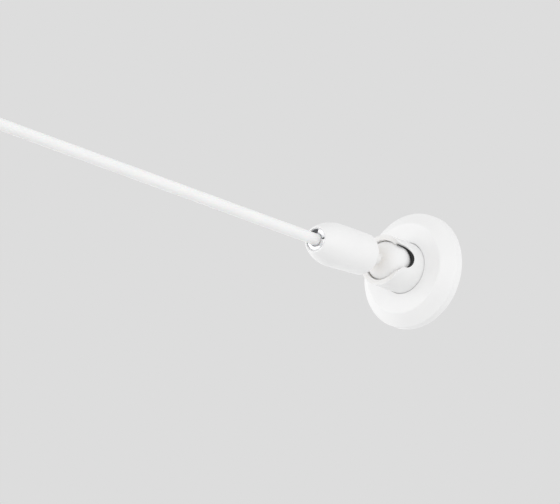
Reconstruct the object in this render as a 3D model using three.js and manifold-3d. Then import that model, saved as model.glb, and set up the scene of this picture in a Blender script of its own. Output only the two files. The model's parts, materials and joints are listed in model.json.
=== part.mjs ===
// A curtain wire with two wall brackets: a white coated steel cable, stretched between two walls.
// Each bracket is a wall plate under a bevelled flange cover, a slotted post that holds a ball on a
// swivel pin, and a bullet-shaped tensioning barrel that screws along the ball's shank and carries
// the wedge clamp that grips the cable.
//
// Millimetres. +Z is up, X runs along the cable, and the origin is midway between the two walls.
// Each bracket is built in its own frame, with its wall at x = 0, its axis along +X and its post's
// slot facing +Y. What hangs on the ball is built in a second frame with the ball at its origin.

import * as THREE from "three";
import { mergeVertices } from "three/addons/utils/BufferGeometryUtils.js";
import Module from "manifold-3d";

const wasm = await Module();
wasm.setup();

// Driving dimensions.
const WALL_TO_WALL = 365; // between the two wall faces
const FLANGE_RADIUS = 25;
const DISC_HEIGHT = 8.57; // the flange's flat front above the wall
const POST_RADIUS = 11.06;
const MOUTH_HEIGHT = 24.15; // the post's open end above the wall
const BALL_HEIGHT = 18.5; // the ball's centre above the wall
const BALL_RADIUS = 9.1;
const NOSE_REACH = 50.9; // the ball's centre to the barrel's nose
const BARREL_LENGTH = 32.6;
const CABLE_RADIUS = 2.54;
const CORE_RADIUS = 1.5;
const DROOP = THREE.MathUtils.degToRad(1.83); // how far the slack pin lets the barrel hang
const POST_TURN = THREE.MathUtils.degToRad(3.7); // the slot faces that far above the level
const FIT_GAP = 0.3; // between pieces that touch
const CLOSE_GAP = 0.15; // between pieces that fit closely
const PAST = 1; // how far a cutting tool reaches past the piece that it cuts

// Facets round a turned piece, by its size.
const LARGE = 32;
const MEDIUM = 20;
const SMALL = 12;

const finish = {
  enamel: new THREE.MeshStandardMaterial({ color: 0xf1f1f1, roughness: 0.38, metalness: 0 }),
  sheath: new THREE.MeshStandardMaterial({ color: 0xf3f3f3, roughness: 0.5, metalness: 0 }),
  nylon: new THREE.MeshStandardMaterial({ color: 0x1b1b1c, roughness: 0.6, metalness: 0 }),
  rubber: new THREE.MeshStandardMaterial({ color: 0x161616, roughness: 0.9, metalness: 0 }),
  chrome: new THREE.MeshStandardMaterial({ color: 0xdadcde, roughness: 0.12, metalness: 1 }),
  steel: new THREE.MeshStandardMaterial({ color: 0xb4b6b9, roughness: 0.35, metalness: 1 }),
  brass: new THREE.MeshStandardMaterial({ color: 0xc9a557, roughness: 0.3, metalness: 1 }),
};

// The closed geometry as a solid with its faces pointing out.
function solid(geometry) {
  const bare = geometry.index ? geometry.toNonIndexed() : geometry.clone();
  bare.deleteAttribute("normal");
  bare.deleteAttribute("uv");
  const merged = mergeVertices(bare, 1e-4);
  const vertProperties = new Float32Array(merged.attributes.position.array);
  const triVerts = new Uint32Array(merged.index.array);
  const made = new wasm.Manifold(new wasm.Mesh({ numProp: 3, vertProperties, triVerts }));
  if (made.volume() > 0) {
    return made;
  }
  for (let i = 0; i < triVerts.length; i += 3) {
    [triVerts[i + 1], triVerts[i + 2]] = [triVerts[i + 2], triVerts[i + 1]];
  }
  return new wasm.Manifold(new wasm.Mesh({ numProp: 3, vertProperties, triVerts }));
}

// A named mesh from a solid.
function piece(name, body, material) {
  const { vertProperties, triVerts } = body.getMesh();
  const geometry = new THREE.BufferGeometry();
  geometry.setAttribute("position", new THREE.BufferAttribute(vertProperties, 3));
  geometry.setIndex(new THREE.BufferAttribute(triVerts, 1));
  geometry.computeVertexNormals();
  const mesh = new THREE.Mesh(geometry, material);
  mesh.name = name;
  return mesh;
}

// A solid turned about the X axis from its outline, a list of [x, radius]. An outline that keeps
// off the axis is closed on itself.
function turned(outline, segments) {
  const points = outline.map(([x, radius]) => new THREE.Vector2(radius, x));
  const touchesAxis = outline[0][1] === 0;
  if (!touchesAxis) {
    points.push(points[0].clone());
  }
  return solid(new THREE.LatheGeometry(points, segments).rotateZ(-Math.PI / 2));
}

// A ring or tube about the X axis between two radii.
function tube(from, to, innerRadius, outerRadius, segments) {
  return turned(
    [
      [from, innerRadius],
      [to, innerRadius],
      [to, outerRadius],
      [from, outerRadius],
    ],
    segments,
  );
}

// A cylinder along X, from one x to another.
function rodX(from, to, radius, segments) {
  const geometry = new THREE.CylinderGeometry(radius, radius, to - from, segments);
  return solid(geometry.rotateZ(-Math.PI / 2).translate((from + to) / 2, 0, 0));
}

// A cylinder along Z through x, from one height to another.
function rodZ(x, from, to, radius, segments) {
  const geometry = new THREE.CylinderGeometry(radius, radius, to - from, segments);
  return solid(geometry.rotateX(Math.PI / 2).translate(x, 0, (from + to) / 2));
}

function sphere(x, radius, segments) {
  return solid(new THREE.SphereGeometry(radius, segments, segments / 2).translate(x, 0, 0));
}

// A shape drawn in X and Z, extruded along Y from one y to another.
function extrudedY(shape, from, to) {
  const options = { depth: to - from, bevelEnabled: false, curveSegments: 6 };
  const geometry = new THREE.ExtrudeGeometry(shape, options);
  return solid(geometry.rotateX(Math.PI / 2).translate(0, to, 0));
}

// Points of a formula's curve, from its start to its end.
function along(count, from, to, formula) {
  const step = (to - from) / (count - 1);
  return Array.from({ length: count }, (_, i) => formula(from + i * step));
}

// --- The wall plate and what is fixed to it -------------------------------------------------

const PLATE_THICKNESS = 3;
const PLATE_RADIUS = 21.85;
const BOSS_RADIUS = 7;
const BOSS_TOP = 4.2;
const SCREW_CIRCLE = 16; // the wall screws' distance from the axis
const SCREW_HOLES = 3;
const SCREW_RADIUS = 2.25;
const SCREW_HEAD_RADIUS = 4.3;
const STUD_RADIUS = 2.9;
const STUD_FOOT = 1.3;
const STUD_TIP = 8.2;
const RING_RADIUS = 0.85; // of the rubber ring's section
const RING_SQUASH = 0.7; // the ring's section is narrower along the axis
const RING_CENTRE = PLATE_RADIUS + 0.2;
const RING_SIDES = 8;
const RING_GROOVE = 0.9;

// A countersunk screw's hole through the plate, as the tool that cuts it.
function screwHole() {
  const outline = [
    [-PAST, 0],
    [-PAST, SCREW_RADIUS],
    [PLATE_THICKNESS - (SCREW_HEAD_RADIUS - SCREW_RADIUS), SCREW_RADIUS],
    [PLATE_THICKNESS, SCREW_HEAD_RADIUS],
    [PLATE_THICKNESS + PAST, SCREW_HEAD_RADIUS],
    [PLATE_THICKNESS + PAST, 0],
  ];
  return turned(outline, SMALL);
}

function wallPlate() {
  const middle = PLATE_THICKNESS / 2;
  const outline = [
    [0, 0],
    [0, PLATE_RADIUS],
    [middle - RING_GROOVE, PLATE_RADIUS],
    [middle - RING_GROOVE / 2, PLATE_RADIUS - RING_GROOVE],
    [middle + RING_GROOVE / 2, PLATE_RADIUS - RING_GROOVE],
    [middle + RING_GROOVE, PLATE_RADIUS],
    [PLATE_THICKNESS, PLATE_RADIUS],
    [PLATE_THICKNESS, BOSS_RADIUS],
    [BOSS_TOP, BOSS_RADIUS],
    [BOSS_TOP, 0],
  ];
  const studHole = rodX(STUD_FOOT - FIT_GAP, BOSS_TOP + PAST, STUD_RADIUS + FIT_GAP, SMALL);
  let plate = turned(outline, LARGE).subtract(studHole);
  for (let i = 0; i < SCREW_HOLES; i++) {
    const turn = (360 / SCREW_HOLES) * i;
    plate = plate.subtract(screwHole().translate([0, 0, SCREW_CIRCLE]).rotate([turn, 0, 0]));
  }
  return plate;
}

// The rubber ring in the plate's rim, which the cover snaps over.
function plateRing() {
  const middle = PLATE_THICKNESS / 2;
  const outline = along(RING_SIDES + 1, 0, 2 * Math.PI, (angle) => [
    middle + RING_RADIUS * RING_SQUASH * Math.cos(angle),
    RING_CENTRE + RING_RADIUS * Math.sin(angle),
  ]);
  outline.pop();
  return turned(outline, MEDIUM);
}

// The threaded stud that stands in the plate's boss, holds the post on and lets it turn.
function postStud() {
  const chamfer = 0.5;
  const outline = [
    [STUD_FOOT, 0],
    [STUD_FOOT, STUD_RADIUS - chamfer],
    [STUD_FOOT + chamfer, STUD_RADIUS],
    [STUD_TIP - chamfer, STUD_RADIUS],
    [STUD_TIP, STUD_RADIUS - chamfer],
    [STUD_TIP, 0],
  ];
  return turned(outline, SMALL);
}

const LAYER_GAP = 0.2; // between the boss, the washer and the post
const WASHER_FROM = BOSS_TOP + LAYER_GAP;
const WASHER_TO = WASHER_FROM + 0.6;
const WASHER_RADIUS = 8;

function frictionWasher() {
  return tube(WASHER_FROM, WASHER_TO, STUD_RADIUS + FIT_GAP, WASHER_RADIUS, SMALL);
}

// --- The bevelled flange cover --------------------------------------------------------------

const COVER_BASE = 0.3; // it stops just short of the wall
const COVER_RIM_TOP = 3.64;
const COVER_DISC_RADIUS = 19.66;
const COVER_WALL = 1.8;
const COVER_CHAMFER = 0.25; // at the rim and round the flat front
const COVER_HOLE = POST_RADIUS + FIT_GAP;

function flangeCover() {
  const innerRim = FLANGE_RADIUS - COVER_WALL;
  const innerTop = DISC_HEIGHT - COVER_WALL;
  const outline = [
    [COVER_BASE, innerRim],
    [COVER_BASE, FLANGE_RADIUS],
    [COVER_RIM_TOP - COVER_CHAMFER, FLANGE_RADIUS],
    [COVER_RIM_TOP + COVER_CHAMFER, FLANGE_RADIUS - COVER_CHAMFER],
    [DISC_HEIGHT - COVER_CHAMFER, COVER_DISC_RADIUS + COVER_CHAMFER],
    [DISC_HEIGHT, COVER_DISC_RADIUS - COVER_CHAMFER],
    [DISC_HEIGHT, COVER_HOLE],
    [innerTop, COVER_HOLE],
    [innerTop, COVER_DISC_RADIUS - COVER_WALL / 2],
    [COVER_RIM_TOP - COVER_WALL / 2, innerRim],
  ];
  return turned(outline, LARGE);
}

// --- The post, its liner and the swivel pin -------------------------------------------------

const POST_BASE = WASHER_TO + LAYER_GAP;
const POST_FLOOR = 9;
const POST_CHAMFER = 0.2;
const BORE_RADIUS = 9.45;
const MOUTH_RADIUS = 8.68; // the bore narrows at the mouth, which holds the ball in
const LIP_START = 21.2;
const LIP_FULL = 21.95;
const SLOT_RADIUS = 4.95; // the round bottom of the slot
const SLOT_CENTRE = 19.95; // the round bottom's centre above the wall
const SLOT_FLARE = 4.25; // the slot's mouth corners
const GUARD_THICKNESS = 0.6; // the liner's lip along the slot
const GUARD_TOP = 21.5;
const GUARD_DEPTH = 1.3; // how far the lip reaches in past the bore's wall
const PIN_RADIUS = 2;
const PIN_TOP = 10.9;
const PIN_FOOT = 10.2;

// The slot's outline: a round bottom, straight sides, and corners that flare out at the mouth.
function slotShape() {
  const past = MOUTH_HEIGHT + PAST;
  const wide = SLOT_RADIUS + SLOT_FLARE;
  const flareFrom = MOUTH_HEIGHT - SLOT_FLARE;
  const shape = new THREE.Shape();
  shape.moveTo(past, -wide);
  shape.lineTo(past, wide);
  shape.lineTo(MOUTH_HEIGHT, wide);
  shape.absarc(flareFrom, wide, SLOT_FLARE, 0, -Math.PI / 2, true);
  shape.absarc(SLOT_CENTRE, 0, SLOT_RADIUS, Math.PI / 2, -Math.PI / 2, false);
  shape.absarc(flareFrom, -wide, SLOT_FLARE, Math.PI / 2, 0, true);
  shape.lineTo(MOUTH_HEIGHT, -wide);
  return shape;
}

function post() {
  const outline = [
    [POST_BASE, 0],
    [POST_BASE, POST_RADIUS],
    [MOUTH_HEIGHT - POST_CHAMFER, POST_RADIUS],
    [MOUTH_HEIGHT, POST_RADIUS - POST_CHAMFER],
    [MOUTH_HEIGHT, MOUTH_RADIUS],
    [LIP_FULL, MOUTH_RADIUS],
    [LIP_START, BORE_RADIUS],
    [POST_FLOOR, BORE_RADIUS],
    [POST_FLOOR, 0],
  ];
  const studHole = rodX(POST_BASE - PAST, STUD_TIP + FIT_GAP, STUD_RADIUS + FIT_GAP, SMALL);
  const pinHoleFoot = -(PIN_FOOT + CLOSE_GAP);
  const pinHole = rodZ(BALL_HEIGHT, pinHoleFoot, POST_RADIUS + PAST, PIN_RADIUS + CLOSE_GAP, SMALL);
  return turned(outline, LARGE)
    .subtract(studHole)
    .subtract(pinHole)
    .subtract(extrudedY(slotShape(), 0, POST_RADIUS + PAST));
}

// The lip of the liner, drawn as the slot's round bottom and sides with a wall of its own.
function guardShape() {
  const outer = SLOT_RADIUS - CLOSE_GAP;
  const inner = outer - GUARD_THICKNESS;
  const shape = new THREE.Shape();
  shape.moveTo(GUARD_TOP, outer);
  shape.absarc(SLOT_CENTRE, 0, outer, Math.PI / 2, -Math.PI / 2, false);
  shape.lineTo(GUARD_TOP, -outer);
  shape.lineTo(GUARD_TOP, -inner);
  shape.absarc(SLOT_CENTRE, 0, inner, -Math.PI / 2, Math.PI / 2, true);
  shape.lineTo(GUARD_TOP, inner);
  return shape;
}

// The black liner: a seat behind the ball, and a lip that guards the slot's edge.
function socketLiner() {
  const seatFrom = POST_FLOOR + FIT_GAP;
  const seatTo = SLOT_CENTRE - SLOT_RADIUS + GUARD_THICKNESS;
  const seat = rodX(seatFrom, seatTo, BORE_RADIUS - CLOSE_GAP, LARGE);
  const skin = rodX(seatFrom, MOUTH_HEIGHT, POST_RADIUS - CLOSE_GAP, LARGE);
  const lip = extrudedY(guardShape(), BORE_RADIUS - GUARD_DEPTH, POST_RADIUS).intersect(skin);
  const ballRoom = sphere(BALL_HEIGHT, BALL_RADIUS + FIT_GAP, MEDIUM);
  const pinRoom = rodZ(BALL_HEIGHT, -BORE_RADIUS, BORE_RADIUS, PIN_RADIUS + FIT_GAP, SMALL);
  return seat.add(lip).subtract(ballRoom).subtract(pinRoom);
}

function swivelPin() {
  return rodZ(BALL_HEIGHT, -PIN_FOOT, PIN_TOP, PIN_RADIUS, SMALL);
}

// --- The ball and its threaded shank, in the ball's frame ------------------------------------

const NECK_RADIUS = 2.5;
const THREAD_RADIUS = 2.4;
const NECK_END = 17.5;
const SHANK_END = 28.5;
const CLIP_FROM = 26.4;
const CLIP_TO = 27.2;
const CLIP_RADIUS = 4.2;
const CLIP_OPENING = 1.8;
const PIN_SLACK = 0.35;

function ballStud() {
  const chamfer = 0.5;
  const neckFrom = BALL_RADIUS - 1;
  const outline = [
    [neckFrom, 0],
    [neckFrom, NECK_RADIUS],
    [NECK_END, NECK_RADIUS],
    [NECK_END + chamfer, THREAD_RADIUS],
    [SHANK_END - chamfer, THREAD_RADIUS],
    [SHANK_END, THREAD_RADIUS - chamfer],
    [SHANK_END, 0],
  ];
  const outside = BALL_RADIUS + PAST;
  const pinHole = rodZ(0, -outside, outside, PIN_RADIUS + PIN_SLACK, SMALL)
    .rotate([THREE.MathUtils.radToDeg(POST_TURN), 0, 0]);
  return sphere(0, BALL_RADIUS, MEDIUM).subtract(pinHole).add(turned(outline, SMALL));
}

// The clip on the shank's end, which stops the barrel from being wound off.
function endClip() {
  const ring = tube(CLIP_FROM, CLIP_TO, THREAD_RADIUS + CLOSE_GAP, CLIP_RADIUS, SMALL);
  const height = CLIP_RADIUS + PAST;
  const opening = new THREE.BoxGeometry(CLIP_TO - CLIP_FROM + 2 * PAST, CLIP_OPENING, height);
  return ring.subtract(solid(opening.translate((CLIP_FROM + CLIP_TO) / 2, 0, height / 2)));
}

// --- The barrel, in the ball's frame ----------------------------------------------------------

const REAR = NOSE_REACH - BARREL_LENGTH;
const NOSE_RADIUS = 5.7;
const SHOULDER_RADIUS = 9.4;
const SHOULDER_AT = 12; // behind the nose
const REAR_RADIUS = 8.95;
const REAR_CHAMFER = 0.5;
const NOSE_HOLE = 5;
const CAVITY_RADIUS = 6.9;
const CAVITY_AT = 5.5; // behind the nose
const NUT_FROM = REAR + FIT_GAP;
const NUT_TO = 24.4;

// The nose's outline is a parabola that levels out at the shoulder.
function noseRadius(behindNose) {
  const rest = 1 - behindNose / SHOULDER_AT;
  return SHOULDER_RADIUS - (SHOULDER_RADIUS - NOSE_RADIUS) * rest * rest;
}

function barrel() {
  const dome = along(6, 0, SHOULDER_AT, (x) => [NOSE_REACH - x, noseRadius(x)]);
  const outline = [
    ...dome,
    [REAR + REAR_CHAMFER, REAR_RADIUS],
    [REAR, REAR_RADIUS - REAR_CHAMFER],
    [REAR, CAVITY_RADIUS],
    [NOSE_REACH - CAVITY_AT, CAVITY_RADIUS],
    [NOSE_REACH - CAVITY_AT, NOSE_HOLE],
    [NOSE_REACH, NOSE_HOLE],
  ];
  return turned(outline, LARGE);
}

function tensionNut() {
  return tube(NUT_FROM, NUT_TO, THREAD_RADIUS + FIT_GAP, CAVITY_RADIUS - CLOSE_GAP, MEDIUM);
}

// --- The wedge clamp in the barrel's nose, in the ball's frame -------------------------------

const THRUST_FROM = CAVITY_AT + CLOSE_GAP; // distances here are behind the nose
const THRUST_THICKNESS = 0.8;
const SLEEVE_SHOULDER = 6.6;
const SLEEVE_END = 15.3;
const SLEEVE_NOSE = 0.35;
const SLEEVE_NOSE_RADIUS = NOSE_HOLE - 0.2;
const SLEEVE_RADIUS = CAVITY_RADIUS - FIT_GAP;
const WEDGE_START = 5.4;
const WEDGE_START_RADIUS = 4.25;
const WEDGE_END = 10.5;
const WEDGE_END_RADIUS = 5.4;
const JAW_FRONT = 2.6;
const JAW_LENGTH = 7;
const SLIT_WIDTH = 0.7;
const SLIT_TURN = 7; // degrees
const FUNNEL_DEPTH = 0.6;
const CAP_THICKNESS = 1.5;
const SPRING_RADIUS = 4.1;
const SPRING_WIRE = 0.35;
const SPRING_TURNS = 3;
const SPRING_GAP = 0.1;

const fromNose = (x) => NOSE_REACH - x;

function thrustWasher() {
  const front = fromNose(THRUST_FROM);
  return tube(front - THRUST_THICKNESS, front, NOSE_HOLE + CLOSE_GAP, SLEEVE_RADIUS, MEDIUM);
}

// The sleeve holds the jaws in its taper, and turns in the barrel so that the cable doesn't twist.
function clampSleeve() {
  const outline = [
    [fromNose(SLEEVE_NOSE), WEDGE_START_RADIUS],
    [fromNose(SLEEVE_NOSE), SLEEVE_NOSE_RADIUS],
    [fromNose(SLEEVE_SHOULDER), SLEEVE_NOSE_RADIUS],
    [fromNose(SLEEVE_SHOULDER), SLEEVE_RADIUS],
    [fromNose(SLEEVE_END), SLEEVE_RADIUS],
    [fromNose(SLEEVE_END), WEDGE_END_RADIUS],
    [fromNose(WEDGE_END), WEDGE_END_RADIUS],
    [fromNose(WEDGE_START), WEDGE_START_RADIUS],
  ];
  return turned(outline, MEDIUM);
}

// The jaw's outer radius, parallel to the sleeve's bore and its taper.
function jawRadius(behindNose) {
  const share = Math.max(0, behindNose - WEDGE_START) / (WEDGE_END - WEDGE_START);
  return WEDGE_START_RADIUS + share * (WEDGE_END_RADIUS - WEDGE_START_RADIUS) - CLOSE_GAP;
}

// One of the two jaws, on the side that the sign gives: +1 above the cable and -1 below it.
function clampJaw(side) {
  const bore = CABLE_RADIUS + CLOSE_GAP;
  const back = JAW_FRONT + JAW_LENGTH;
  const outline = [
    [fromNose(JAW_FRONT + FUNNEL_DEPTH), bore],
    [fromNose(JAW_FRONT), bore + FUNNEL_DEPTH],
    [fromNose(JAW_FRONT), jawRadius(JAW_FRONT)],
    [fromNose(WEDGE_START), jawRadius(WEDGE_START)],
    [fromNose(back), jawRadius(back)],
    [fromNose(back), bore],
  ];
  const height = WEDGE_END_RADIUS + PAST;
  const half = new THREE.BoxGeometry(JAW_LENGTH + 2 * PAST, 2 * height, height);
  half.translate(fromNose(JAW_FRONT + JAW_LENGTH / 2), 0, (side * (height + SLIT_WIDTH)) / 2);
  return turned(outline, MEDIUM).intersect(solid(half)).rotate([SLIT_TURN, 0, 0]);
}

class Helix extends THREE.Curve {
  constructor(from, to, radius, turns) {
    super();
    Object.assign(this, { from, to, radius, turns });
  }
  getPoint(share, target = new THREE.Vector3()) {
    const angle = share * this.turns * 2 * Math.PI;
    const x = this.from + share * (this.to - this.from);
    return target.set(x, this.radius * Math.cos(angle), this.radius * Math.sin(angle));
  }
}

// A round or ring-shaped section swept along a curve.
function swept(curve, steps, radius, sides, holeRadius = 0, holeSides = 8) {
  const ring = (size, count) =>
    along(count + 1, 0, 2 * Math.PI, (a) => new THREE.Vector2(size * Math.cos(a), size * Math.sin(a)))
      .slice(0, count);
  const section = new THREE.Shape(ring(radius, sides));
  if (holeRadius > 0) {
    section.holes.push(new THREE.Path(ring(holeRadius, holeSides)));
  }
  return solid(new THREE.ExtrudeGeometry(section, { steps, extrudePath: curve }));
}

function clampSpring() {
  const front = fromNose(JAW_FRONT + JAW_LENGTH + SPRING_WIRE + SPRING_GAP);
  const rear = fromNose(SLEEVE_END - CAP_THICKNESS - SPRING_WIRE - SPRING_GAP);
  const coil = new Helix(rear, front, SPRING_RADIUS, SPRING_TURNS);
  return swept(coil, SPRING_TURNS * 10, SPRING_WIRE, 5);
}

function clampCap() {
  const rear = fromNose(SLEEVE_END);
  const radius = WEDGE_END_RADIUS - CLOSE_GAP;
  return tube(rear, rear + CAP_THICKNESS, CABLE_RADIUS + FIT_GAP, radius, SMALL);
}

// --- The cable --------------------------------------------------------------------------------

const SHEATH_BORE = CORE_RADIUS + FIT_GAP;
const SHEATH_START = 37.6; // from the ball's centre
const CORE_START = 35.9;
const BEND = 3; // the cable straightens over this much on each side of the nose
const CABLE_STEPS = 30;

// The point of the right-hand barrel's axis that far from its ball, in the object's frame.
function onBarrelAxis(reach) {
  const ballX = WALL_TO_WALL / 2 - BALL_HEIGHT;
  return new THREE.Vector3(ballX - reach * Math.cos(DROOP), 0, -reach * Math.sin(DROOP));
}

// From the right-hand barrel's axis to the left-hand one's, level in between.
function cableRoute(start) {
  const opposite = (point) => new THREE.Vector3(-point.x, 0, point.z);
  const end = onBarrelAxis(start);
  const nose = onBarrelAxis(NOSE_REACH);
  const inside = onBarrelAxis(NOSE_REACH - BEND);
  const level = new THREE.Vector3(nose.x - BEND, 0, nose.z);
  const route = new THREE.CurvePath();
  route.add(new THREE.LineCurve3(end, inside));
  route.add(new THREE.QuadraticBezierCurve3(inside, nose, level));
  route.add(new THREE.LineCurve3(level, opposite(level)));
  route.add(new THREE.QuadraticBezierCurve3(opposite(level), opposite(nose), opposite(inside)));
  route.add(new THREE.LineCurve3(opposite(inside), opposite(end)));
  return route;
}

// --- The assembly -----------------------------------------------------------------------------

// One bracket. Its post turns on the wall plate, and its ball and barrel hang on the post's pin.
function bracket(side) {
  const bracketGroup = new THREE.Group();
  bracketGroup.add(
    piece(side + "_wall_plate", wallPlate(), finish.steel),
    piece(side + "_plate_ring", plateRing(), finish.rubber),
    piece(side + "_flange_cover", flangeCover(), finish.enamel),
    piece(side + "_post_stud", postStud(), finish.steel),
    piece(side + "_friction_washer", frictionWasher(), finish.nylon),
  );
  const turning = new THREE.Group();
  turning.rotation.x = POST_TURN;
  turning.add(
    piece(side + "_post", post(), finish.enamel),
    piece(side + "_socket_liner", socketLiner(), finish.nylon),
    piece(side + "_swivel_pin", swivelPin(), finish.steel),
  );
  const hanging = new THREE.Group();
  hanging.position.x = BALL_HEIGHT;
  hanging.rotation.y = DROOP;
  hanging.add(
    piece(side + "_ball_stud", ballStud(), finish.enamel),
    piece(side + "_end_clip", endClip(), finish.steel),
    piece(side + "_barrel", barrel(), finish.enamel),
    piece(side + "_tension_nut", tensionNut(), finish.brass),
    piece(side + "_thrust_washer", thrustWasher(), finish.brass),
    piece(side + "_clamp_sleeve", clampSleeve(), finish.chrome),
    piece(side + "_clamp_jaw_upper", clampJaw(1), finish.chrome),
    piece(side + "_clamp_jaw_lower", clampJaw(-1), finish.chrome),
    piece(side + "_clamp_spring", clampSpring(), finish.steel),
    piece(side + "_clamp_cap", clampCap(), finish.steel),
  );
  bracketGroup.add(turning, hanging);
  return bracketGroup;
}

// The left bracket is the right one seen in a mirror, so both slots face the room.
const right = bracket("right");
right.position.x = WALL_TO_WALL / 2;
right.rotation.z = Math.PI;

const left = bracket("left");
left.position.x = -WALL_TO_WALL / 2;
left.scale.y = -1;

const sheath = swept(cableRoute(SHEATH_START), CABLE_STEPS, CABLE_RADIUS, 12, SHEATH_BORE);
const core = swept(cableRoute(CORE_START), CABLE_STEPS, CORE_RADIUS, 8);

const curtainWire = new THREE.Group();
curtainWire.add(
  right,
  left,
  piece("cable_sheath", sheath, finish.sheath),
  piece("cable_core", core, finish.steel),
);

export default curtainWire;
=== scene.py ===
import json
import math

import bmesh
import bpy
from mathutils import Matrix, Vector


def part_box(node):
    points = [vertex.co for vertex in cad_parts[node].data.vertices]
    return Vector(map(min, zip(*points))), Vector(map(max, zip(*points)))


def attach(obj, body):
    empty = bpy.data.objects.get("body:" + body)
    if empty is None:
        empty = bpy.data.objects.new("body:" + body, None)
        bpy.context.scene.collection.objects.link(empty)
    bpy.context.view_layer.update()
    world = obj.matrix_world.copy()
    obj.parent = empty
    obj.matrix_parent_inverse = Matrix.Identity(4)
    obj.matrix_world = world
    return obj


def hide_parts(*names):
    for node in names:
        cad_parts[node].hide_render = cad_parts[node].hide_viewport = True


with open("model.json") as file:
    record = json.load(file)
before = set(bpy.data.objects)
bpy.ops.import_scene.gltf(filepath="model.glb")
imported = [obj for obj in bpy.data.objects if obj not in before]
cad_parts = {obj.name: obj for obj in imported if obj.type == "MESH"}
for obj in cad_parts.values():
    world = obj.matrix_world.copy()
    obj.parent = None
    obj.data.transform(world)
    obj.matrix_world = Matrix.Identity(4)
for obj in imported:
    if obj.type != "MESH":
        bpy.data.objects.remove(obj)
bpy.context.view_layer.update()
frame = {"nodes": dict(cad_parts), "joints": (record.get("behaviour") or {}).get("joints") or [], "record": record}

MM = 0.001
SIDES = ("right", "left")
ROUND = 128  # facets round a large turned piece
FINE = 64  # facets round a small one
FILLET_STEPS = 5
SMOOTH_ANGLE = math.radians(32)

joints = {joint["name"]: joint for joint in frame["joints"]}

# Sizes that the frame gives.
COVER_LOW, COVER_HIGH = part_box("right_flange_cover")
POST_LOW, POST_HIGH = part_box("right_post")
BALL_PLACE = joints["right_swivel"]["pos_m"]
PIN_AXIS = Vector(joints["right_swivel"]["axis"])
BARREL_AXIS = Vector(joints["right_barrel_spin"]["axis"])
WALL_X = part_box("right_wall_plate")[1].x
FLANGE_RADIUS = COVER_HIGH.z
DISC_HEIGHT = WALL_X - COVER_LOW.x
STUD_HEIGHT = WALL_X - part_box("right_post_stud")[0].x
POST_RADIUS = (POST_HIGH.y - POST_LOW.y) / 2
POST_BASE = WALL_X - POST_HIGH.x
MOUTH_HEIGHT = WALL_X - POST_LOW.x
BALL_HEIGHT = WALL_X - BALL_PLACE[0]
POST_TURN = math.atan2(PIN_AXIS.y, PIN_AXIS.z)
DROOP = math.atan2(-BARREL_AXIS.z, -BARREL_AXIS.x)

# Sizes of the fine surfaces.
STUD_HOLE = 3.2 * MM
BALL_RADIUS = 9.1 * MM
CABLE_RADIUS = 2.54 * MM

# How far from the ball's centre these lie.
BARREL_REAR = 18.3 * MM
CABLE_START = 37.6 * MM
NOSE_REACH = 50.9 * MM


def linked_object(name, data):
    """A new object that shows its data in the scene."""
    obj = bpy.data.objects.new(name, data)
    bpy.context.scene.collection.objects.link(obj)
    return obj


# --- Camera and cable -------------------------------------------------------------------------

def make_camera():
    """Far off and with a long lens, because the photo shows hardly any perspective."""
    aim = Vector((WALL_X - 93 * MM, 0.49 * MM, -12.66 * MM))
    towards = Vector((-0.753, -0.592, -0.286)).normalized()
    distance = 8
    width_at_aim = 236.4 * MM
    camera = linked_object("camera", bpy.data.cameras.new("camera"))
    camera.location = aim + distance * towards
    camera.rotation_mode = "QUATERNION"
    camera.rotation_quaternion = towards.to_track_quat("Z", "Y")
    camera.data.sensor_width = 36
    camera.data.lens = camera.data.sensor_width * distance / width_at_aim
    camera.data.clip_end = 50
    bpy.context.scene.camera = camera


make_camera()


def on_barrel_axis(reach):
    """The point of the right barrel's axis that far from its ball."""
    return Vector(BALL_PLACE) + reach * BARREL_AXIS


def mirrored(point):
    return Vector((-point.x, point.y, point.z))


def cable_points():
    """From the right clamp to the left one: straight out of each barrel, and level in between."""
    nose = on_barrel_axis(NOSE_REACH)
    bend = 3 * MM
    inside = on_barrel_axis(NOSE_REACH - bend)
    level = nose + Vector((-bend, 0, 0))
    quarters = (0, 0.25, 0.5, 0.75, 1)
    turn = [inside.lerp(nose, t).lerp(nose.lerp(level, t), t) for t in quarters]
    half = [on_barrel_axis(CABLE_START), *turn]
    middle = [level.lerp(mirrored(level), t) for t in quarters[1:-1]]
    return half + middle + [mirrored(point) for point in reversed(half)]


# --- Mesh helpers -----------------------------------------------------------------------------

def clean(mesh):
    """Merges doubles, drops empty faces, turns the rest outwards and marks the real edges sharp."""
    closest = 1e-7
    work = bmesh.new()
    work.from_mesh(mesh)
    bmesh.ops.remove_doubles(work, verts=work.verts, dist=closest)
    bmesh.ops.dissolve_degenerate(work, edges=work.edges, dist=closest)
    bmesh.ops.recalc_face_normals(work, faces=work.faces)
    work.to_mesh(mesh)
    work.free()
    mesh.shade_smooth()
    mesh.set_sharp_from_angle(angle=SMOOTH_ANGLE)


def fine_mesh(name, parts, place):
    """One clean mesh from (points, faces) pairs, put in its place."""
    points = []
    faces = []
    for part_points, part_faces in parts:
        first = len(points)
        points += [place @ Vector(point) for point in part_points]
        faces += [[first + i for i in face] for face in part_faces]
    mesh = bpy.data.meshes.new(name)
    mesh.from_pydata(points, [], faces)
    clean(mesh)
    return mesh


def add_piece(name, parts, place, node, body, slot):
    """One object of its slot's material. It rides on its body and replaces its CAD node, if any."""
    obj = linked_object(name, fine_mesh(name, parts, place))
    obj.data.materials.append(finish[slot])
    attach(obj, body)
    if node:
        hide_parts(node)
    return obj


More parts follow.
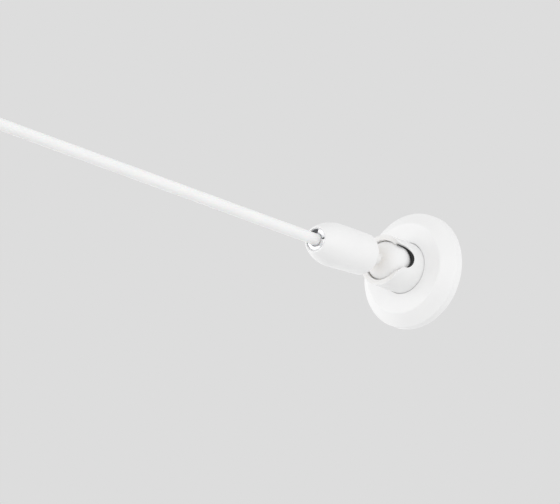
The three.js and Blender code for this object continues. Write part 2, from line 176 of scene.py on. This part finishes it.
def rounded(outline):
    """The outline, (x, radius, fillet) each, with its corners rounded by their fillets."""
    result = []
    count = len(outline)
    for i, (x, radius, fillet) in enumerate(outline):
        corner = Vector((x, radius))
        if fillet == 0:
            result.append(corner)
            continue
        before = Vector(outline[i - 1][:2])
        after = Vector(outline[(i + 1) % count][:2])
        start = corner + (before - corner).normalized() * fillet
        end = corner + (after - corner).normalized() * fillet
        for step in range(FILLET_STEPS + 1):
            t = step / FILLET_STEPS
            result.append(start.lerp(corner, t).lerp(corner.lerp(end, t), t))
    return result


def skin(rings, closed=False):
    """A surface over rings of equally many points. If closed, the last ring joins the first."""
    count = len(rings[0])
    points = [point for ring in rings for point in ring]
    faces = []
    for row in range(len(rings) if closed else len(rings) - 1):
        a = row * count
        b = (row + 1) % len(rings) * count
        for i in range(count):
            j = (i + 1) % count
            faces.append((a + i, a + j, b + j, b + i))
    return points, faces


def solid_skin(rings):
    """A surface over the rings, with its two ends filled."""
    points, faces = skin(rings)
    count = len(rings[0])
    faces.append(tuple(range(count)))
    faces.append(tuple(range(len(points) - count, len(points))))
    return points, faces


def turned(outline, segments, closed=True):
    """A surface of revolution about x. A closed outline joins its last point to its first."""
    angles = [2 * math.pi * i / segments for i in range(segments)]
    rings = [[(x, r * math.cos(a), r * math.sin(a)) for a in angles] for x, r in outline]
    return skin(rings, closed)


def moved(part, matrix):
    points, faces = part
    return [matrix @ Vector(point) for point in points], faces


# --- Materials --------------------------------------------------------------------------------

def new_material(name, color, roughness, metallic=0.0):
    """The material and its shader."""
    material = bpy.data.materials.new(name)
    material.use_nodes = True
    shader = material.node_tree.nodes["Principled BSDF"]
    shader.inputs["Base Color"].default_value = (*color, 1)
    shader.inputs["Roughness"].default_value = roughness
    shader.inputs["Metallic"].default_value = metallic
    return material, shader


def add_noise(material, scale, detail=4, stretch=(1, 1, 1)):
    """Noise over the object's own coordinates, as many features to the metre as scale says."""
    nodes = material.node_tree.nodes
    links = material.node_tree.links
    place = nodes.new("ShaderNodeTexCoord")
    spread = nodes.new("ShaderNodeMapping")
    spread.inputs["Scale"].default_value = stretch
    noise = nodes.new("ShaderNodeTexNoise")
    noise.inputs["Scale"].default_value = scale
    noise.inputs["Detail"].default_value = detail
    links.new(place.outputs["Object"], spread.inputs["Vector"])
    links.new(spread.outputs["Vector"], noise.inputs["Vector"])
    return noise


def vary_color(material, shader, noise, low, high):
    """Most of the noise lies near its middle, so the ramp runs between 0.3 and 0.7."""
    ramp = material.node_tree.nodes.new("ShaderNodeValToRGB")
    stops = ramp.color_ramp.elements
    for stop, position, color in zip(stops, (0.3, 0.7), (low, high)):
        stop.position = position
        stop.color = (*color, 1)
    material.node_tree.links.new(noise.outputs["Fac"], ramp.inputs["Fac"])
    material.node_tree.links.new(ramp.outputs["Color"], shader.inputs["Base Color"])


def vary_roughness(material, shader, noise, low, high):
    spread = material.node_tree.nodes.new("ShaderNodeMapRange")
    spread.inputs["To Min"].default_value = low
    spread.inputs["To Max"].default_value = high
    material.node_tree.links.new(noise.outputs["Fac"], spread.inputs["Value"])
    material.node_tree.links.new(spread.outputs["Result"], shader.inputs["Roughness"])


def add_bump(material, shader, noise, height):
    bump = material.node_tree.nodes.new("ShaderNodeBump")
    bump.inputs["Strength"].default_value = 1
    bump.inputs["Distance"].default_value = height
    material.node_tree.links.new(noise.outputs["Fac"], bump.inputs["Height"])
    material.node_tree.links.new(bump.outputs["Normal"], shader.inputs["Normal"])


def enamel():
    """White powder coat, with its faint orange peel."""
    material, shader = new_material("enamel", (0.88, 0.88, 0.88), 0.4)
    patches = add_noise(material, 60)
    vary_color(material, shader, patches, (0.868, 0.868, 0.87), (0.89, 0.89, 0.888))
    vary_roughness(material, shader, add_noise(material, 300), 0.34, 0.44)
    add_bump(material, shader, add_noise(material, 1300, detail=2), 0.012 * MM)
    shader.inputs["Coat Weight"].default_value = 0.15
    shader.inputs["Coat Roughness"].default_value = 0.2
    return material


def sheath():
    """White PVC, drawn along the cable."""
    material, shader = new_material("sheath", (0.9, 0.9, 0.9), 0.45)
    drawn = add_noise(material, 900, stretch=(0.04, 1, 1))
    patches = add_noise(material, 80)
    vary_color(material, shader, patches, (0.885, 0.885, 0.885), (0.91, 0.91, 0.908))
    vary_roughness(material, shader, drawn, 0.38, 0.5)
    add_bump(material, shader, drawn, 0.008 * MM)
    shader.inputs["Subsurface Weight"].default_value = 0.05
    shader.inputs["Subsurface Scale"].default_value = 0.5 * MM
    return material


def nylon():
    material, shader = new_material("nylon", (0.011, 0.011, 0.012), 0.55)
    patches = add_noise(material, 200)
    vary_color(material, shader, patches, (0.009, 0.009, 0.01), (0.016, 0.016, 0.017))
    vary_roughness(material, shader, add_noise(material, 500), 0.45, 0.65)
    add_bump(material, shader, add_noise(material, 2500), 0.01 * MM)
    return material


def rubber():
    material, shader = new_material("rubber", (0.01, 0.01, 0.01), 0.85)
    patches = add_noise(material, 150)
    vary_color(material, shader, patches, (0.008, 0.008, 0.008), (0.02, 0.02, 0.019))
    vary_roughness(material, shader, add_noise(material, 400), 0.75, 0.95)
    add_bump(material, shader, add_noise(material, 3000), 0.015 * MM)
    return material


def chrome():
    material, shader = new_material("chrome", (0.92, 0.92, 0.93), 0.1, metallic=1)
    vary_color(material, shader, add_noise(material, 150), (0.9, 0.9, 0.91), (0.95, 0.95, 0.96))
    vary_roughness(material, shader, add_noise(material, 700), 0.06, 0.16)
    add_bump(material, shader, add_noise(material, 900), 0.004 * MM)
    return material


def steel():
    material, shader = new_material("steel", (0.45, 0.46, 0.47), 0.35, metallic=1)
    rolled = add_noise(material, 800, stretch=(1, 0.05, 1))
    vary_color(material, shader, add_noise(material, 180), (0.4, 0.41, 0.42), (0.52, 0.53, 0.55))
    vary_roughness(material, shader, rolled, 0.28, 0.45)
    add_bump(material, shader, rolled, 0.01 * MM)
    return material


def brass():
    material, shader = new_material("brass", (0.58, 0.38, 0.1), 0.3, metallic=1)
    vary_color(material, shader, add_noise(material, 150), (0.5, 0.32, 0.09), (0.66, 0.45, 0.15))
    vary_roughness(material, shader, add_noise(material, 900), 0.22, 0.38)
    add_bump(material, shader, add_noise(material, 1500), 0.006 * MM)
    return material


def floor_paint():
    material, shader = new_material("floor_paint", (0.8, 0.8, 0.8), 0.8)
    vary_color(material, shader, add_noise(material, 3), (0.79, 0.79, 0.79), (0.82, 0.82, 0.82))
    return material


finish = {
    "enamel": enamel(),
    "sheath": sheath(),
    "nylon": nylon(),
    "rubber": rubber(),
    "chrome": chrome(),
    "steel": steel(),
    "brass": brass(),
}


# --- The cable --------------------------------------------------------------------------------

def make_cable():
    points = cable_points()
    line = bpy.data.curves.new("cable", "CURVE")
    line.dimensions = "3D"
    line.bevel_depth = CABLE_RADIUS
    line.bevel_resolution = 12
    line.use_fill_caps = True
    spline = line.splines.new("POLY")
    spline.points.add(len(points) - 1)
    for target, point in zip(spline.points, points):
        target.co = (*point, 1)
    line.materials.append(finish["sheath"])
    cable = linked_object("cable", line)
    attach(cable, "cable_line")
    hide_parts("cable_sheath")


make_cable()


# --- The fixed pieces of a bracket ------------------------------------------------------------

PLATE_THICKNESS = 3 * MM
PLATE_RADIUS = 21.85 * MM
SCREW_HOLES = 3
RING_STEPS = 24


def wall_plate():
    """The plate with a groove in its rim for the ring, and a boss with the stud's blind hole."""
    groove = 0.9 * MM
    middle = PLATE_THICKNESS / 2
    boss_radius = 7 * MM
    boss_top = 4.2 * MM
    hole_end = 1 * MM
    edge = 0.2 * MM
    boss_foot = 0.3 * MM
    outline = [
        (0, 0, 0),
        (0, PLATE_RADIUS, edge),
        (middle - groove, PLATE_RADIUS, 0),
        (middle - groove / 2, PLATE_RADIUS - groove, 0),
        (middle + groove / 2, PLATE_RADIUS - groove, 0),
        (middle + groove, PLATE_RADIUS, 0),
        (PLATE_THICKNESS, PLATE_RADIUS, edge),
        (PLATE_THICKNESS, boss_radius, boss_foot),
        (boss_top, boss_radius, edge),
        (boss_top, STUD_HOLE, edge),
        (hole_end, STUD_HOLE, 0),
        (hole_end, 0, 0),
    ]
    return turned(rounded(outline), ROUND, closed=False)


def screw_holes():
    """The countersunk screw holes, as the solids to cut out of the plate."""
    past = 1 * MM
    shank = 2.25 * MM
    head = 4.3 * MM
    circle = 16 * MM
    outline = [
        (-past, 0),
        (-past, shank),
        (PLATE_THICKNESS - (head - shank), shank),
        (PLATE_THICKNESS, head),
        (PLATE_THICKNESS + past, head),
        (PLATE_THICKNESS + past, 0),
    ]
    one = turned(outline, FINE, closed=False)
    turns = [Matrix.Rotation(2 * math.pi * i / SCREW_HOLES, 4, "X") for i in range(SCREW_HOLES)]
    return [moved(one, turn @ Matrix.Translation((0, 0, circle))) for turn in turns]


def cut_holes(obj, cutters, place):
    """Takes the cutters out of the object's mesh."""
    cutter = linked_object("cutter", fine_mesh("cutter", cutters, place))
    modifier = obj.modifiers.new("holes", "BOOLEAN")
    modifier.solver = "EXACT"
    modifier.object = cutter
    bpy.context.view_layer.update()
    graph = bpy.context.evaluated_depsgraph_get()
    result = bpy.data.meshes.new_from_object(obj.evaluated_get(graph))
    obj.modifiers.clear()
    bpy.data.objects.remove(cutter)
    obj.data = result
    clean(result)


def plate_ring():
    """The rubber ring in the plate's rim. Its section is squashed along the axis."""
    section = 0.85 * MM
    squash = 0.7
    centre = PLATE_RADIUS + 0.2 * MM
    middle = PLATE_THICKNESS / 2
    outline = []
    for i in range(RING_STEPS):
        angle = 2 * math.pi * i / RING_STEPS
        x = middle + section * squash * math.cos(angle)
        outline.append((x, centre + section * math.sin(angle)))
    return turned(outline, ROUND)


def flange_cover():
    """A dished disc with a bevelled edge, open at the back."""
    wall = 1.8 * MM
    base = 0.1 * MM
    rim_top = 3.64 * MM
    disc = 19.66 * MM
    hole = POST_RADIUS + 0.15 * MM
    foot_edge = 0.15 * MM
    bevel_edge = 0.45 * MM
    hole_edge = 0.25 * MM
    hollow_edge = 0.5 * MM
    inner_rim = FLANGE_RADIUS - wall
    inner_top = DISC_HEIGHT - wall
    outline = [
        (base, inner_rim, 0),
        (base, FLANGE_RADIUS, foot_edge),
        (rim_top, FLANGE_RADIUS, bevel_edge),
        (DISC_HEIGHT, disc, bevel_edge),
        (DISC_HEIGHT, hole, hole_edge),
        (inner_top, hole, 0),
        (inner_top, disc - wall / 2, hollow_edge),
        (rim_top - wall / 2, inner_rim, hollow_edge),
    ]
    return turned(rounded(outline), ROUND)


# --- The post and what is in it ---------------------------------------------------------------

BORE_RADIUS = 9.45 * MM
MOUTH_RADIUS = 8.68 * MM
LIP_START = 21.2 * MM
LIP_FULL = 21.95 * MM
POST_FLOOR = 9 * MM
SLOT_RADIUS = 4.95 * MM
SLOT_CENTRE = 19.95 * MM
SLOT_FLARE = 4.25 * MM
SLOT_HALF_WIDTH = SLOT_RADIUS + SLOT_FLARE
EDGE_FILLET = 0.3 * MM


def bore_radius(x):
    """The bore is widest round the ball and narrows to its mouth, which holds the ball in."""
    share = min(max((x - LIP_START) / (LIP_FULL - LIP_START), 0), 1)
    return BORE_RADIUS + (MOUTH_RADIUS - BORE_RADIUS) * share


def slot_outline():
    """Half of the slot's edge, (x, z) from its lowest point to where the flare meets the mouth."""
    half = []
    round_steps = 20
    for i in range(round_steps + 1):
        angle = math.pi / 2 * i / round_steps
        half.append((SLOT_CENTRE - SLOT_RADIUS * math.cos(angle), SLOT_RADIUS * math.sin(angle)))
    flare_steps = 14
    for i in range(1, flare_steps + 1):
        angle = math.pi / 2 * i / flare_steps
        x = MOUTH_HEIGHT - SLOT_FLARE + SLOT_FLARE * math.sin(angle)
        half.append((x, SLOT_HALF_WIDTH - SLOT_FLARE * math.cos(angle)))
    return half


def edge_height(z):
    """How high the rim's edge is, that far to the side of the slot's middle."""
    z = abs(z)
    if z >= SLOT_HALF_WIDTH:
        return MOUTH_HEIGHT
    if z <= SLOT_RADIUS:
        return SLOT_CENTRE - math.sqrt(SLOT_RADIUS**2 - z**2)
    return MOUTH_HEIGHT - SLOT_FLARE + math.sqrt(SLOT_FLARE**2 - (SLOT_HALF_WIDTH - z) ** 2)


def slot_stations():
    """The rim's stations from the slot's lowest point to the end of its flare, on one side."""
    half = []
    for x, z in slot_outline():
        outer = math.asin(z / POST_RADIUS)
        share = max(0, z - SLOT_RADIUS) / SLOT_FLARE
        bore = bore_radius(x)
        inner = math.asin(min(z / bore, 1)) * (1 - share) + outer * share
        inner_x = x if share == 0 else edge_height(bore * math.sin(inner))
        half.append((x, outer, inner_x, inner))
    return half


def rim_stations():
    """Round the post's rim: (outer x, outer angle, inner x, inner angle). Angle 0 is the slot."""
    half = slot_stations()
    start = half[-1][1]
    back_steps = 80
    back = []
    for i in range(1, back_steps):
        angle = start + (2 * math.pi - 2 * start) * i / back_steps
        inner_x = MOUTH_HEIGHT
        if math.cos(angle) > 0:
            inner_x = edge_height(MOUTH_RADIUS * math.sin(angle))
        back.append((MOUTH_HEIGHT, angle, inner_x, angle))
    other = [(x, -outer, inner_x, -inner) for x, outer, inner_x, inner in reversed(half[1:])]
    return half + back + other


def flat_at(height):
    """For a ring of the post: the same height at each station."""
    return lambda edge: height


def below_rim(drop):
    """For a ring of the post: that far below the rim's edge."""
    return lambda edge: edge - drop


def part_way(height, share):
    """For a ring of the post: that share of the way from a height to the rim's fillet."""
    return lambda edge: height + (edge - EDGE_FILLET - height) * share


def outer_ring(radius, height_at):
    """A ring of points round the post's outside."""
    ring = []
    for edge, angle, _, _ in rim_stations():
        ring.append((height_at(edge), radius * math.cos(angle), radius * math.sin(angle)))
    return ring


def bore_ring(beyond, height_at):
    """A ring of points in the bore, that far beyond its wall."""
    ring = []
    for _, _, edge, angle in rim_stations():
        x = height_at(edge)
        reach = bore_radius(x) + beyond
        ring.append((x, reach * math.cos(angle), reach * math.sin(angle)))
    return ring


def post():
    """The cup: from the stud's hole up the outer wall, over the rim, and down the bore."""
    hole_end = STUD_HEIGHT + 0.3 * MM
    wall_foot = POST_BASE + EDGE_FILLET
    wall_rows = 6
    bore_rows = 24
    nearly_all = 0.999  # keeps the last row apart from the fillet's first
    turns = [math.pi / 2 * i / FILLET_STEPS for i in range(FILLET_STEPS + 1)]
    rings = [
        outer_ring(STUD_HOLE, flat_at(hole_end)),
        outer_ring(STUD_HOLE, flat_at(POST_BASE)),
        outer_ring(POST_RADIUS - EDGE_FILLET, flat_at(POST_BASE)),
        outer_ring(POST_RADIUS, flat_at(wall_foot)),
    ]
    for i in range(1, wall_rows + 1):
        rings.append(outer_ring(POST_RADIUS, part_way(wall_foot, nearly_all * i / wall_rows)))
    for turn in turns:
        radius = POST_RADIUS - EDGE_FILLET * (1 - math.cos(turn))
        rings.append(outer_ring(radius, below_rim(EDGE_FILLET * (1 - math.sin(turn)))))
    for turn in reversed(turns):
        beyond = EDGE_FILLET * (1 - math.cos(turn))
        rings.append(bore_ring(beyond, below_rim(EDGE_FILLET * (1 - math.sin(turn)))))
    for i in range(bore_rows - 1, 0, -1):
        rings.append(bore_ring(0, part_way(POST_FLOOR, nearly_all * i / bore_rows)))
    rings.append(bore_ring(0, flat_at(POST_FLOOR)))
    rings.append(bore_ring(-BORE_RADIUS / 2, flat_at(POST_FLOOR)))
    return solid_skin(rings)


def liner_cup():
    """The seat behind the ball."""
    start = POST_FLOOR + 0.3 * MM
    end = 12.6 * MM
    seat = BALL_RADIUS + 0.35 * MM
    outer = BORE_RADIUS - 0.3 * MM
    steps = 16
    first = math.acos((BALL_HEIGHT - start) / seat)
    last = math.acos((BALL_HEIGHT - end) / seat)
    outline = []
    for i in range(steps + 1):
        angle = first + (last - first) * i / steps
        outline.append((BALL_HEIGHT - seat * math.cos(angle), seat * math.sin(angle)))
    outline += [(end, outer), (start, outer)]
    return turned(outline, ROUND)


def guard_edge(highest):
    """The slot's edge (x, z) that the lining follows, from low on one side to high on the other."""
    lowest = -0.93 * SLOT_RADIUS
    half = [(x, z) for x, z in slot_outline() if z < highest]
    return [(x, -z) for x, z in reversed(half[1:]) if -z > lowest] + half


def liner_guard():
    """The lip that lines the slot's edge through the post's wall. It gets narrower as it rises."""
    gap = 0.05 * MM
    thickness = 0.3 * MM
    sunk = 0.12 * MM
    highest = 6 * MM
    inside = BORE_RADIUS - gap
    edge = guard_edge(highest)
    rings = []
    for i, (x, z) in enumerate(edge):
        before = Vector(edge[max(i - 1, 0)])
        after = Vector(edge[min(i + 1, len(edge) - 1)])
        along = (after - before).normalized()
        rise = max(0, z) / highest
        outside = POST_RADIUS - sunk - (POST_RADIUS - BORE_RADIUS) * rise**2
        section = ((gap, inside), (gap, outside), (thickness, outside), (thickness, inside))
        ring = []
        for offset, radius in section:
            side = z - offset * along.x
            ring.append((x + offset * along.y, math.sqrt(radius**2 - side**2), side))
        rings.append(ring)
    return solid_skin(rings)


def swivel_pin():
    """Upright through the ball, with a low domed head on the post's top."""
    foot = -10.2 * MM
    head = POST_RADIUS + 0.25 * MM
    radius = 2 * MM
    foot_edge = 0.3 * MM
    head_edge = 0.5 * MM
    outline = [(foot, 0, 0), (foot, radius, foot_edge), (head, radius, head_edge), (head, 0, 0)]
    upright = Matrix.Translation((BALL_HEIGHT, 0, 0)) @ Matrix.Rotation(-math.pi / 2, 4, "Y")
    return moved(turned(rounded(outline), FINE, closed=False), upright)


# --- The ball and barrel, in the ball's frame -------------------------------------------------

NECK_RADIUS = 2.5 * MM
THREAD_PITCH = 1 * MM
THREAD_DEPTH = 0.3 * MM
THREAD_FROM = 14.5 * MM
SHANK_END = 28.5 * MM


def ball():
    """The ball, drawn out into its neck by a small flare. Its coat makes it a little fuller."""
    coated = BALL_RADIUS + 0.2 * MM
    flare = 0.6 * MM
    meets = math.asin((NECK_RADIUS + flare) / coated)
    steps = 48
    outline = []
    for i in range(steps + 1):
        angle = math.pi - (math.pi - meets) * i / steps
        outline.append((coated * math.cos(angle), coated * math.sin(angle)))
    neck = coated * math.cos(meets)
    outline += [
        (neck + flare / 2, NECK_RADIUS + flare / 3),
        (neck + 1.5 * flare, NECK_RADIUS),
        (THREAD_FROM, NECK_RADIUS),
        (THREAD_FROM, 0),
    ]
    return turned(outline, ROUND, closed=False)


def threaded_shank():
    """The thread is a wave in the radius that climbs one pitch each turn."""
    start = THREAD_FROM - 0.2 * MM
    crest = NECK_RADIUS - 0.1 * MM
    rows_per_turn = 8
    segments = 48
    rows = round((SHANK_END - start) / THREAD_PITCH * rows_per_turn)
    rings = []
    for row in range(rows + 1):
        x = start + (SHANK_END - start) * row / rows
        fade = min(1, (x - start) / THREAD_PITCH, (SHANK_END - x) / THREAD_PITCH)
        ring = []
        for i in range(segments):
            share = i / segments
            phase = (x / THREAD_PITCH - share) % 1
            radius = crest - THREAD_DEPTH * fade * (1 - abs(2 * phase - 1))
            angle = 2 * math.pi * share
            ring.append((x, radius * math.cos(angle), radius * math.sin(angle)))
        rings.append(ring)
    return solid_skin(rings)


NOSE_RADIUS = 5.7 * MM
NOSE_HOLE = 5 * MM
SHOULDER_RADIUS = 9.4 * MM
SHOULDER_AT = 12 * MM  # behind the nose
REAR_RADIUS = 8.95 * MM
CAVITY_RADIUS = 6.9 * MM
CAVITY_AT = 5.5 * MM  # behind the nose


def barrel():
    """A parabola from the nose to the shoulder, a slight taper behind it, and a rounded rear."""
    lip = 0.35 * MM
    rear_edge = 0.7 * MM
    cavity_edge = 0.3 * MM
    nose_edge = 0.2 * MM
    steps = 28
    dome = []
    for i in range(steps + 1):
        behind = lip + (SHOULDER_AT - lip) * i / steps
        share = 1 - behind / SHOULDER_AT
        radius = SHOULDER_RADIUS - (SHOULDER_RADIUS - NOSE_RADIUS) * share**2
        dome.append((NOSE_REACH - behind, radius))
    rear = rounded([
        (NOSE_REACH - SHOULDER_AT, SHOULDER_RADIUS, 0),
        (BARREL_REAR, REAR_RADIUS, rear_edge),
        (BARREL_REAR, CAVITY_RADIUS, cavity_edge),
        (NOSE_REACH - CAVITY_AT, CAVITY_RADIUS, 0),
        (NOSE_REACH - CAVITY_AT, NOSE_HOLE, 0),
        (NOSE_REACH, NOSE_HOLE, nose_edge),
        (NOSE_REACH, NOSE_RADIUS, nose_edge),
    ])
    return turned(dome + [tuple(point) for point in rear[1:]], ROUND)


def tension_nut():
    """The brass nut in the barrel's rear, which runs along the shank."""
    start = BARREL_REAR + 0.3 * MM
    end = 24.4 * MM
    bore = NECK_RADIUS + 0.2 * MM
    outer = CAVITY_RADIUS - 0.15 * MM
    edge = 0.3 * MM
    corners = ((start, bore), (start, outer), (end, outer), (end, bore))
    return turned(rounded([(x, radius, edge) for x, radius in corners]), FINE)


# --- The clamp in the barrel's nose, in the ball's frame --------------------------------------

JAW_BORE = CABLE_RADIUS + 0.45 * MM
JAW_RADIUS = 4.6 * MM
JAW_REAR_RADIUS = 5 * MM
JAW_BACK = NOSE_REACH - 9.6 * MM
TAPER_AT = 5.4 * MM  # behind the nose
TAB_LENGTH = 4.2 * MM  # from the nose back to the upper wedge


def clamp_sleeve():
    """The turned body that the wedges slide in, in the barrel's nose."""
    snout = NOSE_HOLE - 0.08 * MM
    bore = JAW_RADIUS + 0.1 * MM
    body = CAVITY_RADIUS - 0.3 * MM
    rear_bore = JAW_REAR_RADIUS + 0.4 * MM
    front = NOSE_REACH - 0.15 * MM
    shoulder = NOSE_REACH - 6.6 * MM
    taper_end = NOSE_REACH - 10.5 * MM
    rear = NOSE_REACH - 15.3 * MM
    front_edge = 0.1 * MM
    body_edge = 0.2 * MM
    outline = [
        (front, bore, front_edge),
        (front, snout, front_edge),
        (shoulder, snout, 0),
        (shoulder, body, body_edge),
        (rear, body, body_edge),
        (rear, rear_bore, 0),
        (taper_end, rear_bore, 0),
        (NOSE_REACH - TAPER_AT, bore, 0),
    ]
    return turned(rounded(outline), FINE)


def arc_section(x, inner, outer, angles):
    """The outline of a wedge's section: along its outside, and back along its bore."""
    loop = [(x, outer * math.cos(a), outer * math.sin(a)) for a in angles]
    return loop + [(x, inner * math.cos(a), inner * math.sin(a)) for a in reversed(angles)]


def arc_block(front, back, first, last):
    """A block of the wedge's section, with small bevels on its front edges. It runs between two
    angles in degrees, where 0 faces the room and 90 is up."""
    steps = 32
    bevel = 0.15 * MM
    taper = NOSE_REACH - TAPER_AT
    angles = [math.radians(first + (last - first) * i / steps) for i in range(steps + 1)]
    stations = [
        (front, JAW_BORE + bevel, JAW_RADIUS - bevel),
        (front - bevel, JAW_BORE, JAW_RADIUS),
    ]
    if back < taper:
        stations += [(taper, JAW_BORE, JAW_RADIUS), (back, JAW_BORE, JAW_REAR_RADIUS)]
    else:
        stations += [(back, JAW_BORE, JAW_RADIUS)]
    points, faces = skin([arc_section(x, inner, outer, angles) for x, inner, outer in stations])
    count = 2 * len(angles)
    for end in (0, len(points) - count):
        for i in range(steps):
            faces.append((end + i, end + i + 1, end + count - 2 - i, end + count - 1 - i))
    return points, faces


def clamp_jaw_lower():
    """The wedge under the cable. It reaches to the nose."""
    return arc_block(NOSE_REACH - 0.2 * MM, JAW_BACK, -167, -7)


def clamp_jaw_upper():
    """The wedge over the cable. It sits well back, in the dark, behind an open notch."""
    return arc_block(NOSE_REACH - TAB_LENGTH, JAW_BACK, 8, 172)


def clamp_tab():
    """The bright tab of the upper wedge that comes forward beside the cable."""
    return arc_block(NOSE_REACH - 0.6 * MM, NOSE_REACH - TAB_LENGTH, 4, 74)


def painted_shade_bush():
    """The bush in the sleeve's opening: a collar round the cable, a floor and a thin outer wall, in steel darker
    than the chrome round it. This is painted shade: the darker steel stands in for the shade in the hollow behind
    the nose, over and under the cable.
    """
    wall = 0.06 * MM
    outer = JAW_RADIUS + 0.02 * MM
    inner = CABLE_RADIUS + 0.06 * MM
    collar = JAW_BORE - 0.04 * MM
    floor = NOSE_REACH - TAB_LENGTH + 0.2 * MM
    collar_end = NOSE_REACH - 1 * MM
    wall_end = NOSE_REACH - 0.8 * MM
    outline = [
        (floor, inner),
        (collar_end, inner),
        (collar_end, collar),
        (floor + wall, collar),
        (floor + wall, outer),
        (wall_end, outer),
        (wall_end, outer + wall),
        (floor, outer + wall),
    ]
    return turned(outline, FINE)


# --- Putting the brackets together ------------------------------------------------------------

def wall_frame(side):
    """From a bracket's own frame to the object's. The left bracket mirrors the right one."""
    away = -1 if side == "right" else 1
    return Matrix.Translation((-away * WALL_X, 0, 0)) @ Matrix.Diagonal((away, -1, 1, 1))


def make_grip(side, place):
    """The clamp rides on the cable. Its tab and its bush, whose darker steel is painted shade, stand for no CAD
    node of their own.
    """
    grip = [
        ("sleeve", clamp_sleeve(), "chrome", f"{side}_clamp_sleeve"),
        ("upper_grip", clamp_jaw_upper(), "chrome", f"{side}_clamp_jaw_upper"),
        ("lower_grip", clamp_jaw_lower(), "chrome", f"{side}_clamp_jaw_lower"),
        ("grip_tab", clamp_tab(), "chrome", None),
        # painted shade: the bush's steel, darker than the chrome, stands in for the shade in the nose's hollow
        ("painted_shade_bush", painted_shade_bush(), "steel", None),
    ]
    for name, part, slot, node in grip:
        add_piece(f"{side}_{name}_fine", [part], place, node, "cable_line", slot)


def make_bracket(side):
    """All the fine pieces of one bracket, each in the frame of the body that it rides on."""
    wall = wall_frame(side)
    cup = wall @ Matrix.Rotation(POST_TURN, 4, "X")
    hanging = wall @ Matrix.Translation((BALL_HEIGHT, 0, 0)) @ Matrix.Rotation(DROOP, 4, "Y")
    plate = add_piece(f"{side}_plate_fine", [wall_plate()], wall,
                      f"{side}_wall_plate", f"{side}_wall", "steel")
    cut_holes(plate, screw_holes(), wall)
    # Each row: name, parts, place, slot, CAD node and body.
    made = [
        ("seal", [plate_ring()], wall, "rubber", "plate_ring", "wall"),
        ("flange", [flange_cover()], wall, "enamel", "flange_cover", "wall"),
        ("cup", [post()], cup, "enamel", "post", "post_cup"),
        ("lining", [liner_cup(), liner_guard()], cup, "nylon", "socket_liner", "post_cup"),
        ("pin", [swivel_pin()], cup, "steel", "swivel_pin", "post_cup"),
        ("ball", [ball(), threaded_shank()], hanging, "enamel", "ball_stud", "ball"),
        ("bullet", [barrel()], hanging, "enamel", "barrel", "tensioner"),
        ("nut", [tension_nut()], hanging, "brass", "tension_nut", "tensioner"),
    ]
    for name, parts, place, slot, node, body in made:
        title = f"{side}_{name}_fine"
        add_piece(title, parts, place, f"{side}_{node}", f"{side}_{body}", slot)
    make_grip(side, hanging)


for bracket_side in SIDES:
    make_bracket(bracket_side)


def dress_cad_nodes():
    """The CAD nodes get their slots' fine materials, because the small inner ones stay."""
    slots = {part["node"]: part["material_slot"] for part in frame["record"]["subparts"]}
    for name, obj in frame["nodes"].items():
        obj.data.materials.clear()
        obj.data.materials.append(finish[slots[name]])


dress_cad_nodes()


# --- Floor, light and background --------------------------------------------------------------

def make_floor():
    """A plain square, low enough to stay out of the picture."""
    size = 3.2
    mesh = bpy.data.meshes.new("floor")
    corners = [(x * size, y * size, 0) for x, y in ((-1, -1), (1, -1), (1, 1), (-1, 1))]
    mesh.from_pydata(corners, [], [(0, 1, 2, 3)])
    mesh.materials.append(floor_paint())
    floor = linked_object("floor", mesh)
    floor.location.z = -2.6


def make_lamp(name, towards, strength):
    """A wide soft sun that stands in the direction given by towards."""
    lamp = linked_object(name, bpy.data.lights.new(name, "SUN"))
    lamp.data.energy = strength
    lamp.data.angle = math.radians(50)
    lamp.rotation_mode = "QUATERNION"
    lamp.rotation_quaternion = Vector(towards).to_track_quat("Z", "Y")


def side_glow(nodes, links):
    """Light that is strongest from level directions, and weaker from above than from below."""
    from_below = 0.97
    from_level = 1.14
    from_above = 0.73
    place = nodes.new("ShaderNodeTexCoord")
    split = nodes.new("ShaderNodeSeparateXYZ")
    height = nodes.new("ShaderNodeMapRange")
    height.inputs["From Min"].default_value = -1
    shades = nodes.new("ShaderNodeValToRGB")
    stops = shades.color_ramp.elements
    stops.new(0.5)
    for stop, grey in zip(stops, (from_below, from_level, from_above)):
        stop.color = (grey, grey, grey, 1)
    glow = nodes.new("ShaderNodeBackground")
    links.new(place.outputs["Generated"], split.inputs["Vector"])
    links.new(split.outputs["Z"], height.inputs["Value"])
    links.new(height.outputs["Result"], shades.inputs["Fac"])
    links.new(shades.outputs["Color"], glow.inputs["Color"])
    return glow


def make_world():
    """A pale surround, even to the eye, that lights the object most from the sides."""
    world = bpy.data.worlds.new("surround")
    bpy.context.scene.world = world
    world.use_nodes = True
    nodes = world.node_tree.nodes
    links = world.node_tree.links
    pale = 0.723
    seen = nodes["Background"]
    seen.inputs["Color"].default_value = (pale, pale, pale, 1)
    glow = side_glow(nodes, links)
    rays = nodes.new("ShaderNodeLightPath")
    mix = nodes.new("ShaderNodeMixShader")
    links.new(rays.outputs["Is Camera Ray"], mix.inputs["Fac"])
    links.new(glow.outputs["Background"], mix.inputs[1])
    links.new(seen.outputs["Background"], mix.inputs[2])
    links.new(mix.outputs["Shader"], nodes["World Output"].inputs["Surface"])


make_floor()
make_lamp("room_light", (-0.5, -0.87, 0), 0.17)
make_lamp("far_light", (-0.5, 0.87, 0), 0.33)
make_world()
bpy.context.scene.view_settings.view_transform = "Standard"
